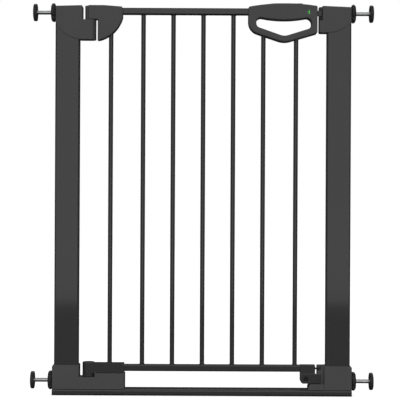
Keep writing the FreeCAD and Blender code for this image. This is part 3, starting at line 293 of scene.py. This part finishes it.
# %% Grain group
grain, given, made = start_group(
    "surface_grain",
    [("Grain Size", 0.0015), ("Patch Size", 0.08)],
    ["Height", "Patches"])
fine = noise(grain, given.outputs["Grain Size"], 3.0)
wide = noise(grain, given.outputs["Patch Size"], 4.0)
grain.links.new(fine, made.inputs["Height"])
grain.links.new(wide, made.inputs["Patches"])
print(grain.name, "built")

# %% [markdown]
# ### Rubbed edges
# Hands, shoes and doorways polish the edges first. The Bevel node rounds the surface normal near
# an edge; where that rounded normal leaves the true one, there is an edge. Pointiness could find
# edges too, but it needs a dense mesh, and flat CAD faces have few points.

# %% Rubbed edges group
EDGE_SAMPLES = 4
EDGE_GAIN = 4.0
PATCH_FLOOR = 0.42
PATCH_GAIN = 5.0

rubbed, given, made = start_group(
    "rubbed_edges",
    [("Width", 0.001), ("Patch Size", 0.02), ("Strength", 1.0)],
    ["Mask"])
soft_normal = rubbed.nodes.new("ShaderNodeBevel")
soft_normal.samples = EDGE_SAMPLES
rubbed.links.new(given.outputs["Width"], soft_normal.inputs["Radius"])
true_normal = rubbed.nodes.new("ShaderNodeNewGeometry")
agree = rubbed.nodes.new("ShaderNodeVectorMath")
agree.operation = "DOT_PRODUCT"
rubbed.links.new(soft_normal.outputs[0], agree.inputs[0])
rubbed.links.new(true_normal.outputs["Normal"], agree.inputs[1])
away = maths(rubbed, "SUBTRACT", 1.0, agree.outputs["Value"])
sharp = maths(rubbed, "MULTIPLY", away, EDGE_GAIN, clamp=True)
patchy = maths(rubbed, "SUBTRACT", noise(rubbed, given.outputs["Patch Size"], 5.0), PATCH_FLOOR)
patchy = maths(rubbed, "MULTIPLY", patchy, PATCH_GAIN, clamp=True)
worn = maths(rubbed, "MULTIPLY", sharp, patchy)
worn = maths(rubbed, "MULTIPLY", worn, given.outputs["Strength"], clamp=True)
rubbed.links.new(worn, made.inputs["Mask"])
print(rubbed.name, "built")

# %% [markdown]
# ### Dust and painted underside shade
# Dust lies on what faces up, in drifts. The mask is the upward part of the surface normal times
# a wide noise. Dust could be painted on by hand, but a mask from the normal needs no unwrapping
# and fits every piece. It is turned down very low, because the gate is nearly new. The same
# normal also gives a mask for undersides, on which shade is painted: it darkens their colour.

# %% Dust and painted underside shade group
LEVEL_START = 0.7
LEVEL_GAIN = 4.0
UNDER_SHADE_START = -0.15
UNDER_SHADE_GAIN = 3.0

dust_and_shade, given, made = start_group(
    "settled_dust_and_shade",
    [("Amount", 0.1), ("Patch Size", 0.03)],
    ["Mask", "Painted Underside Shade"])
facing = dust_and_shade.nodes.new("ShaderNodeNewGeometry")
axes = dust_and_shade.nodes.new("ShaderNodeSeparateXYZ")
dust_and_shade.links.new(facing.outputs["Normal"], axes.inputs[0])
level = maths(dust_and_shade, "SUBTRACT", axes.outputs["Z"], LEVEL_START)
level = maths(dust_and_shade, "MULTIPLY", level, LEVEL_GAIN, clamp=True)
drifts = maths(dust_and_shade, "MULTIPLY", noise(dust_and_shade, given.outputs["Patch Size"], 6.0), level)
lying = maths(dust_and_shade, "MULTIPLY", drifts, given.outputs["Amount"], clamp=True)
dust_and_shade.links.new(lying, made.inputs["Mask"])
# Painted shade: faces that point down are masked, and the paint darkens them as if in shadow.
painted_under_shade = maths(dust_and_shade, "SUBTRACT", UNDER_SHADE_START, axes.outputs["Z"])
painted_under_shade = maths(dust_and_shade, "MULTIPLY", painted_under_shade, UNDER_SHADE_GAIN, clamp=True)
dust_and_shade.links.new(painted_under_shade, made.inputs["Painted Underside Shade"])
print(dust_and_shade.name, "built")

# %% [markdown]
# ### Drawn metal lines
# Wire and rod are drawn through a die, which leaves long faint lines. A Wave texture makes lines
# too, but evenly spaced ones. Noise that is squeezed across the piece and stretched along it
# gives uneven ones, as a die does.

# %% Drawn lines group
ALONG_THE_WIRE = (0.04, 1.0, 1.0)

drawn, given, made = start_group("drawn_lines", [("Line Width", 0.0004)], ["Lines"])
streaks = noise(drawn, given.outputs["Line Width"], 2.0, stretch=ALONG_THE_WIRE)
drawn.links.new(streaks, made.inputs["Lines"])
print(drawn.name, "built")

# %% [markdown]
# ## Finishes
# Every finish is a Principled shader with a few of the groups in front of it. What is the same
# all over a piece is typed into the shader itself, and only what changes over the surface is
# linked: colour, roughness and the bump that tilts the normal.

# %% Helpers for finishes
def new_finish(name, **steady):
    """A material with the given steady shader values; returns it, its nodes' tree and shader."""
    material = bpy.data.materials.new(name)
    material.use_nodes = True
    tree = material.node_tree
    shader = tree.nodes["Principled BSDF"]
    for label, value in steady.items():
        shader.inputs[label.replace("_", " ")].default_value = value
    return material, tree, shader


def use_group(tree, group, **values):
    """A shared effect placed in a material with its own values."""
    node = tree.nodes.new("ShaderNodeGroup")
    node.node_tree = group
    for label, value in values.items():
        node.inputs[label.replace("_", " ")].default_value = value
    return node


def blend_colours(tree, mask, below, above):
    """Goes from one colour to another by a mask; each is a grey, an RGB triple or a link.

    A Mix node keeps its pair of colours in sockets 6 and 7 and its result in output 2.
    """
    mix = tree.nodes.new("ShaderNodeMix")
    mix.data_type = "RGBA"
    tree.links.new(mask, mix.inputs["Factor"])
    for socket, colour in ((mix.inputs[6], below), (mix.inputs[7], above)):
        if isinstance(colour, (int, float)):
            socket.default_value = (colour, colour, colour, 1)
        elif isinstance(colour, tuple):
            socket.default_value = (*colour, 1)
        else:
            tree.links.new(colour, socket)
    return mix.outputs[2]


def blend_values(tree, mask, low, high):
    """Goes from low to high as the mask goes from 0 to 1; each is a number or a link.

    A Mix node keeps its pair of numbers in sockets 2 and 3.
    """
    mix = tree.nodes.new("ShaderNodeMix")
    mix.data_type = "FLOAT"
    tree.links.new(mask, mix.inputs["Factor"])
    for socket, value in ((mix.inputs[2], low), (mix.inputs[3], high)):
        if isinstance(value, (int, float)):
            socket.default_value = value
        else:
            tree.links.new(value, socket)
    return mix.outputs[0]


def raise_surface(tree, shader, height, depth):
    """A bump of the given depth in metres."""
    bump = tree.nodes.new("ShaderNodeBump")
    bump.inputs["Distance"].default_value = depth
    bump.inputs["Strength"].default_value = 1.0
    tree.links.new(height, bump.inputs["Height"])
    tree.links.new(bump.outputs["Normal"], shader.inputs["Normal"])


finishes = {}
print("finish helpers ready")

# %% [markdown]
# ### Powder paint
# Posts, threshold, rails and bars are steel tube with a baked black powder coat: satin, smooth
# enough to show the softbox, with a very faint orange peel. A mirror-smooth lacquer would look
# wet, so the roughness also wanders a little from patch to patch.

# %% Powder paint
HOUSE_DUST = (0.32, 0.30, 0.28)
PEEL_DEPTH = 0.000003
EDGE_PALER = 2.6
# Painted shade: undersides are darkened to this share of the paint's grey.
UNDERSIDE_SHADE_SHARE = 0.2


def powder_paint(name, grey, patch_size):
    material, tree, shader = new_finish(name, IOR=1.5)
    peel = use_group(tree, grain, Grain_Size=0.0022, Patch_Size=patch_size)
    edges = use_group(tree, rubbed, Width=0.0009, Patch_Size=0.03, Strength=0.5)
    dirt_and_shade = use_group(tree, dust_and_shade, Amount=0.04, Patch_Size=0.05)
    colour = blend_colours(tree, peel.outputs["Patches"], grey * 0.9, grey * 1.1)
    colour = blend_colours(tree, edges.outputs["Mask"], colour, grey * EDGE_PALER)
    colour = blend_colours(tree, dirt_and_shade.outputs["Mask"], colour, HOUSE_DUST)
    # Painted shade: faces that point down are darkened towards a fifth of the grey.
    colour = blend_colours(tree, dirt_and_shade.outputs["Painted Underside Shade"], colour, grey * UNDERSIDE_SHADE_SHARE)
    tree.links.new(colour, shader.inputs["Base Color"])
    gloss = blend_values(tree, peel.outputs["Patches"], 0.05, 0.08)
    gloss = blend_values(tree, dirt_and_shade.outputs["Mask"], gloss, 0.7)
    tree.links.new(gloss, shader.inputs["Roughness"])
    raise_surface(tree, shader, peel.outputs["Height"], PEEL_DEPTH)
    return material


finishes["black_powder_coat"] = powder_paint("black_powder_coat", grey=0.030, patch_size=0.12)
print("powder paint mixed")

# %% [markdown]
# ### Moulded black plastic
# The covers, boots and handle are glass-filled nylon from a spark-eroded mould: matte, grainy,
# evenly dark grey, a little polished along the edges where hands slide. Three separate materials
# could be drawn, but one function makes this plastic and the smoother ones of the handwheels and
# the bolt, with their own greys and gloss.

# %% Moulded plastics
PALE_DUST = (0.34, 0.32, 0.30)
GLOSS_SPREAD = 0.05
RUBBED_GLOSS = 0.2
SLID_EDGE_PALER = 1.7


def moulded_plastic(name, grey, rough, grain_size, grain_depth, wear=0.6):
    material, tree, shader = new_finish(name, IOR=1.46, Specular_IOR_Level=0.25)
    skin = use_group(tree, grain, Grain_Size=grain_size, Patch_Size=0.05)
    edges = use_group(tree, rubbed, Width=0.0011, Patch_Size=0.018, Strength=wear)
    dirt_and_shade = use_group(tree, dust_and_shade, Amount=0.06, Patch_Size=0.03)
    colour = blend_colours(tree, skin.outputs["Patches"], grey * 0.93, grey * 1.07)
    colour = blend_colours(tree, edges.outputs["Mask"], colour, grey * SLID_EDGE_PALER)
    colour = blend_colours(tree, dirt_and_shade.outputs["Mask"], colour, PALE_DUST)
    tree.links.new(colour, shader.inputs["Base Color"])
    gloss = blend_values(tree, skin.outputs["Patches"], rough - GLOSS_SPREAD, rough + GLOSS_SPREAD)
    gloss = blend_values(tree, edges.outputs["Mask"], gloss, rough - RUBBED_GLOSS)
    tree.links.new(gloss, shader.inputs["Roughness"])
    raise_surface(tree, shader, skin.outputs["Height"], grain_depth)
    return material


finishes["black_moulding"] = moulded_plastic(
    "black_moulding", grey=0.062, rough=0.65, grain_size=0.0006, grain_depth=0.00003)
finishes["black_spindle_plastic"] = moulded_plastic(
    "black_spindle_plastic", grey=0.022, rough=0.42, grain_size=0.0009, grain_depth=0.00002)
finishes["grey_moulding"] = moulded_plastic(
    "grey_moulding", grey=0.055, rough=0.35, grain_size=0.0012, grain_depth=0.00001, wear=0.3)
print("three moulded plastics mixed")

# %% [markdown]
# ### Rubber
# The wall pads are black rubber: no gloss, a bloom of grey and a coarse bite. The plastics'
# function could make it too, but rubber doesn't polish along its edges, so it has its own.

# %% Rubber
def pad_rubber(name):
    material, tree, shader = new_finish(name, IOR=1.5)
    skin = use_group(tree, grain, Grain_Size=0.0004, Patch_Size=0.012)
    colour = blend_colours(tree, skin.outputs["Patches"], 0.012, 0.034)
    tree.links.new(colour, shader.inputs["Base Color"])
    dull = blend_values(tree, skin.outputs["Patches"], 0.72, 0.92)
    tree.links.new(dull, shader.inputs["Roughness"])
    raise_surface(tree, shader, skin.outputs["Height"], 0.00006)
    return material


finishes["black_rubber"] = pad_rubber("black_rubber")
print("rubber mixed")

# %% [markdown]
# ### Plated and bare metals
# The spindles are zinc plated: bright, bluish, a little cloudy. The screws are blackened, and the
# spring is bare drawn wire. Glossy grey paint could pass for plating from afar, but only a full
# metal mirrors the room in its own colour. All three are full metals, so one function makes
# them, with other colours, clouding and lines.

# %% Metals
CLOUDING = 0.12


def bright_metal(name, pale, dull, rough, cloud_size, line_depth):
    """A metal that goes from pale to dull in clouds, with drawn lines of the given depth."""
    material, tree, shader = new_finish(name, Metallic=1.0)
    skin = use_group(tree, grain, Grain_Size=0.0005, Patch_Size=cloud_size)
    lines = use_group(tree, drawn, Line_Width=0.0003)
    colour = blend_colours(tree, skin.outputs["Patches"], pale, dull)
    tree.links.new(colour, shader.inputs["Base Color"])
    gloss = blend_values(tree, skin.outputs["Patches"], rough, rough + CLOUDING)
    tree.links.new(gloss, shader.inputs["Roughness"])
    raise_surface(tree, shader, lines.outputs["Lines"], line_depth)
    return material


finishes["zinc_plated_steel"] = bright_metal(
    "zinc_plated_steel", pale=(0.93, 0.94, 0.96), dull=(0.80, 0.81, 0.83),
    rough=0.12, cloud_size=0.004, line_depth=0.000004)
finishes["dark_screw_steel"] = bright_metal(
    "dark_screw_steel", pale=(0.035, 0.035, 0.038), dull=(0.07, 0.068, 0.066),
    rough=0.34, cloud_size=0.002, line_depth=0.00001)
finishes["spring_steel"] = bright_metal(
    "spring_steel", pale=(0.55, 0.55, 0.56), dull=(0.42, 0.41, 0.40),
    rough=0.28, cloud_size=0.003, line_depth=0.000006)
print("three metals mixed")

# %% [markdown]
# ### Indicator colours and its window
# A green flag shows through the window when the gate is locked, and a red one when it isn't. Both
# are glossy coloured plastic. The window is a thin clear lens. It could be made see-through with
# alpha, but glass also reflects the softbox, and only its roughness is clouded by fingers.

# %% Indicator finishes
DEEP_SHARE = 0.82


def flag_plastic(name, colour):
    material, tree, shader = new_finish(name, IOR=1.49)
    skin = use_group(tree, grain, Grain_Size=0.0008, Patch_Size=0.006)
    deep = tuple(DEEP_SHARE * part for part in colour)
    shade = blend_colours(tree, skin.outputs["Patches"], deep, colour)
    tree.links.new(shade, shader.inputs["Base Color"])
    gloss = blend_values(tree, skin.outputs["Patches"], 0.28, 0.40)
    tree.links.new(gloss, shader.inputs["Roughness"])
    raise_surface(tree, shader, skin.outputs["Height"], 0.00001)
    return material


def clear_lens(name):
    material, tree, shader = new_finish(
        name, Base_Color=(0.96, 0.99, 0.97, 1), Transmission_Weight=1.0, IOR=1.3)
    skin = use_group(tree, grain, Grain_Size=0.003, Patch_Size=0.004)
    fingered = blend_values(tree, skin.outputs["Patches"], 0.02, 0.10)
    tree.links.new(fingered, shader.inputs["Roughness"])
    return material


finishes["green_plastic"] = flag_plastic("green_plastic", (0.05, 0.47, 0.06))
finishes["red_plastic"] = flag_plastic("red_plastic", (0.62, 0.03, 0.025))
finishes["clear_plastic"] = clear_lens("clear_plastic")
print(len(finishes), "finishes in all")

# %% [markdown]
# ## Dress the CAD pieces
# The record says which finish each piece has, so one loop dresses them all. Fifty-nine pieces
# could be dressed by hand, but the loop can't forget one. The meshes are left as they are: only
# the material slots change.

# %% Dress the CAD pieces
dressed = 0
for part in frame["record"]["subparts"]:
    piece = frame["nodes"][part["node"]]
    finish = finishes[part["material_slot"]]
    if not piece.material_slots:
        piece.data.materials.append(finish)
    for slot in piece.material_slots:
        slot.material = finish
    dressed += 1
print(dressed, "CAD pieces dressed")

# %% [markdown]
# ## Finer pieces
# Some CAD pieces are plain on purpose, because they have to slide and turn in each other. A bump
# in the material could hint at a thread, but its outline would stay straight, so finer versions
# are built here as meshes. They stay inside the same space and ride on the same body.

# %% Helpers for new pieces
def add_piece(name, shape, body, finish, smooth=True):
    """Turns a bmesh into a piece of the gate that rides on a body."""
    bmesh.ops.recalc_face_normals(shape, faces=shape.faces)
    data = bpy.data.meshes.new(name)
    shape.to_mesh(data)
    shape.free()
    for face in data.polygons:
        face.use_smooth = smooth
    data.materials.append(finishes[finish])
    piece = bpy.data.objects.new(name, data)
    bpy.context.scene.collection.objects.link(piece)
    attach(piece, body)
    return piece


def loop_of_points(shape, points):
    return [shape.verts.new(point) for point in points]


def skin_loops(shape, loops):
    """Faces between closed loops of equal length."""
    for near, far in zip(loops, loops[1:]):
        count = len(near)
        for k in range(count):
            after = (k + 1) % count
            shape.faces.new((near[k], near[after], far[after], far[k]))


CORNERS = ("top_left", "top_right", "bottom_left", "bottom_right")
print("piece helpers ready")

# %% [markdown]
# ### Threaded spindles
# A spindle is an 8 mm rod with a thread of 1.25 mm pitch. A Screw modifier could sweep the
# profile, but here every point of a fine tube is moved in or out by how far it is from the
# helix, which gives a closed mesh whose ends are easy to chamfer. The rolled crests are left
# broad and polished, because they are what catches the softbox as one bright line.

# %% Threaded spindles
THREAD_PITCH = 0.00125
THREAD_CREST = 0.00400
THREAD_DEPTH = 0.00034
GROOVE_SHARE = 0.45
FLANK_SHARE = 0.30
AROUND = 32
STEPS_PER_TURN = 8
CHAMFER_LONG = 0.0009
CHAMFER_DEEP = 0.22


def thread_radius(along, turn):
    """Radius at a distance along the rod and a share of a turn: a ridge with a flat top."""
    phase = (along / THREAD_PITCH - turn) % 1.0
    ridge = 1.0 - abs(2.0 * phase - 1.0)
    sunk = min(1.0, max(0.0, (GROOVE_SHARE - ridge) / FLANK_SHARE))
    return THREAD_CREST - THREAD_DEPTH * sunk


def threaded_rod(name, start, end, height, body):
    """A closed tube along X from start to end, with a right-hand thread and chamfered ends."""
    shape = bmesh.new()
    length = abs(end - start)
    way = 1.0 if end > start else -1.0
    rings = int(length / THREAD_PITCH * STEPS_PER_TURN)
    loops = []
    for k in range(rings + 1):
        along = length * k / rings
        chamfer = min(1.0, 1 - CHAMFER_DEEP + min(along, length - along) / CHAMFER_LONG * CHAMFER_DEEP)
        points = []
        for m in range(AROUND):
            angle = 2 * math.pi * m / AROUND
            radius = min(thread_radius(along, way * m / AROUND), THREAD_CREST * chamfer)
            points.append((start + way * along, radius * math.cos(angle),
                           height + radius * math.sin(angle)))
        loops.append(loop_of_points(shape, points))
    skin_loops(shape, loops)
    shape.faces.new(loops[0])
    shape.faces.new(loops[-1])
    return add_piece(name, shape, body, "zinc_plated_steel", smooth=False)


for corner in CORNERS:
    low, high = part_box(f"rod_{corner}")
    inner, outer = (high.x, low.x) if low.x < 0 else (low.x, high.x)
    rod = threaded_rod(f"threaded_spindle_{corner}", inner, outer, (low.z + high.z) / 2,
                       f"spindle_{corner}")
    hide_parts(f"rod_{corner}")
print("four threaded spindles,", len(rod.data.polygons), "faces each")

# %% [markdown]
# ### Wall pads
# Each pad is a slightly domed rubber disc with three shallow rings in its flat middle, which grip
# paint and wallpaper. A Spin or Screw modifier could turn the profile, but a loop over its points
# needs nothing applied afterwards. The profile is a list of distances and radii that is turned
# round the spindle's axis.

# %% Wall pads
PAD_RINGS = (0.0028, 0.0055, 0.0082)
RING_HALF = 0.0004
RING_DEPTH = 0.0006
PAD_SIDE = 0.0012
PAD_DOME = 0.0070
DOME_STEPS = 8
PAD_AROUND = 64
RING_SLOPE = 1.8


def turned_piece(name, profile, height, body, finish):
    """Turns (x, radius) points round the X axis at the given height."""
    shape = bmesh.new()
    loops = []
    for x, radius in profile:
        loops.append(loop_of_points(shape, [
            (x, radius * math.cos(2 * math.pi * k / PAD_AROUND),
             height + radius * math.sin(2 * math.pi * k / PAD_AROUND))
            for k in range(PAD_AROUND)]))
    skin_loops(shape, loops)
    shape.faces.new(loops[0])
    shape.faces.new(loops[-1])
    return add_piece(name, shape, body, finish, smooth=False)


def pad_profile(inner, outer, radius):
    """From the cup's side to the wall's: straight rim, domed edge, then the face with its rings."""
    way = 1.0 if outer > inner else -1.0
    rise = abs(outer - inner) - PAD_SIDE
    points = [(inner, radius)]
    for step in range(DOME_STEPS + 1):
        swing = math.radians(step * 90.0 / DOME_STEPS)
        points.append((inner + way * (PAD_SIDE + rise * math.sin(swing)),
                       radius - PAD_DOME * (1 - math.cos(swing))))
    for ring in reversed(PAD_RINGS):
        sunk = outer - way * RING_DEPTH
        points += [(outer, ring + RING_HALF * RING_SLOPE), (sunk, ring + RING_HALF),
                   (sunk, ring - RING_HALF), (outer, ring - RING_HALF * RING_SLOPE)]
    return points


for corner in CORNERS:
    low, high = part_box(f"wall_pad_{corner}")
    inner, outer = (high.x, low.x) if low.x < 0 else (low.x, high.x)
    rubber = turned_piece(f"ringed_pad_{corner}", pad_profile(inner, outer, (high.z - low.z) / 2),
                          (low.z + high.z) / 2, f"spindle_{corner}", "black_rubber")
    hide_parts(f"wall_pad_{corner}")
print("four ringed pads")

# %% [markdown]
# ### Weld beads
# The bars are welded to the rails, and each joint keeps a low bead of steel under the paint. A
# torus would be too perfect: the bead's thickness ripples like a row of coins, and wanders. The
# wander comes from a seeded generator, so that it is the same each time. The first bar's foot is
# inside the hinge's cap and has no bead, and two bars end in the handle, so they have only one.

# %% Weld beads
BAR_RADIUS = 0.0045
BEAD_SIZE = 0.0011
BEAD_AROUND = 48
BEAD_SECTION = 8
BEAD_LIFT = 0.0001
RIPPLES = 9
RIPPLE_SHARE = 0.10
LEAN_SHARE = 0.12
FULL_TURN = 6.28    # in radians, near enough for a random start
WELDED_BARS = range(2, 8)
beads_rng = random.Random(7)


def weld_bead(shape, x, z, up):
    """A bead round a bar at (x, z); up is 1 on top of a rail and -1 under one."""
    phase = beads_rng.uniform(0, FULL_TURN)
    lean = beads_rng.uniform(0, FULL_TURN)
    loops = []
    for k in range(BEAD_AROUND):
        angle = 2 * math.pi * k / BEAD_AROUND
        ripple = RIPPLE_SHARE * math.sin(RIPPLES * angle + phase)
        size = BEAD_SIZE * (1.0 + ripple + LEAN_SHARE * math.sin(angle + lean))
        points = []
        for m in range(BEAD_SECTION):
            turn = 2 * math.pi * m / BEAD_SECTION
            reach = BAR_RADIUS + BEAD_LIFT + size * math.cos(turn)
            points.append((x + reach * math.cos(angle), reach * math.sin(angle),
                           z + up * (BEAD_LIFT + size * math.sin(turn))))
        loops.append(loop_of_points(shape, points))
    skin_loops(shape, loops + [loops[0]])


beads = bmesh.new()
low_rail_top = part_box("bottom_rail")[1].z
top_rail_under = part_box("top_rail")[0].z
for count in WELDED_BARS:
    low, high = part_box(f"bar_{count}")
    middle = (low.x + high.x) / 2
    weld_bead(beads, middle, low_rail_top, 1)
    if high.z > top_rail_under - BEAD_SIZE:
        weld_bead(beads, middle, top_rail_under, -1)
weld_beads = add_piece("weld_beads", beads, "panel", "black_powder_coat")
print("weld beads,", len(weld_beads.data.polygons), "faces")

# %% [markdown]
# ### Latch spring
# The latch slide is pushed back by a coil of drawn wire in the handle. When the thumb pulls the
# slide, the coil shortens towards its fixed end.
# A curve with a round bevel makes a wire too, but its ends stay open unless they are filled, and
# a skin over loops of points is closed from the start.

# %% Latch spring
spring_low, spring_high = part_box("latch_spring")
COILS = 9
STEPS_PER_COIL = 28
WIRE = 0.00045
WIRE_AROUND = 8
coil_radius = (spring_high.z - spring_low.z) / 2 - WIRE
coil_height = (spring_high.z + spring_low.z) / 2


def coil_spring(name, start, end):
    """A closed wire of radius WIRE, wound round the spring's axis from start to end."""
    shape = bmesh.new()
    steps = COILS * STEPS_PER_COIL
    loops = []
    for k in range(steps + 1):
        share = k / steps
        angle = 2 * math.pi * COILS * share
        centre = Vector((start + WIRE + (end - start - 2 * WIRE) * share,
                         coil_radius * math.cos(angle), coil_height + coil_radius * math.sin(angle)))
        outward = Vector((0, math.cos(angle), math.sin(angle)))
        along = Vector((1, 0, 0))
        loops.append(loop_of_points(shape, [
            centre + WIRE * (outward * math.cos(2 * math.pi * m / WIRE_AROUND)
                             + along * math.sin(2 * math.pi * m / WIRE_AROUND))
            for m in range(WIRE_AROUND)]))
    skin_loops(shape, loops)
    shape.faces.new(loops[0])
    shape.faces.new(loops[-1])
    return add_piece(name, shape, "panel", "spring_steel")


latch_coil = coil_spring("latch_coil", spring_low.x, spring_high.x)
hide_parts("latch_spring")
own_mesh(latch_coil)
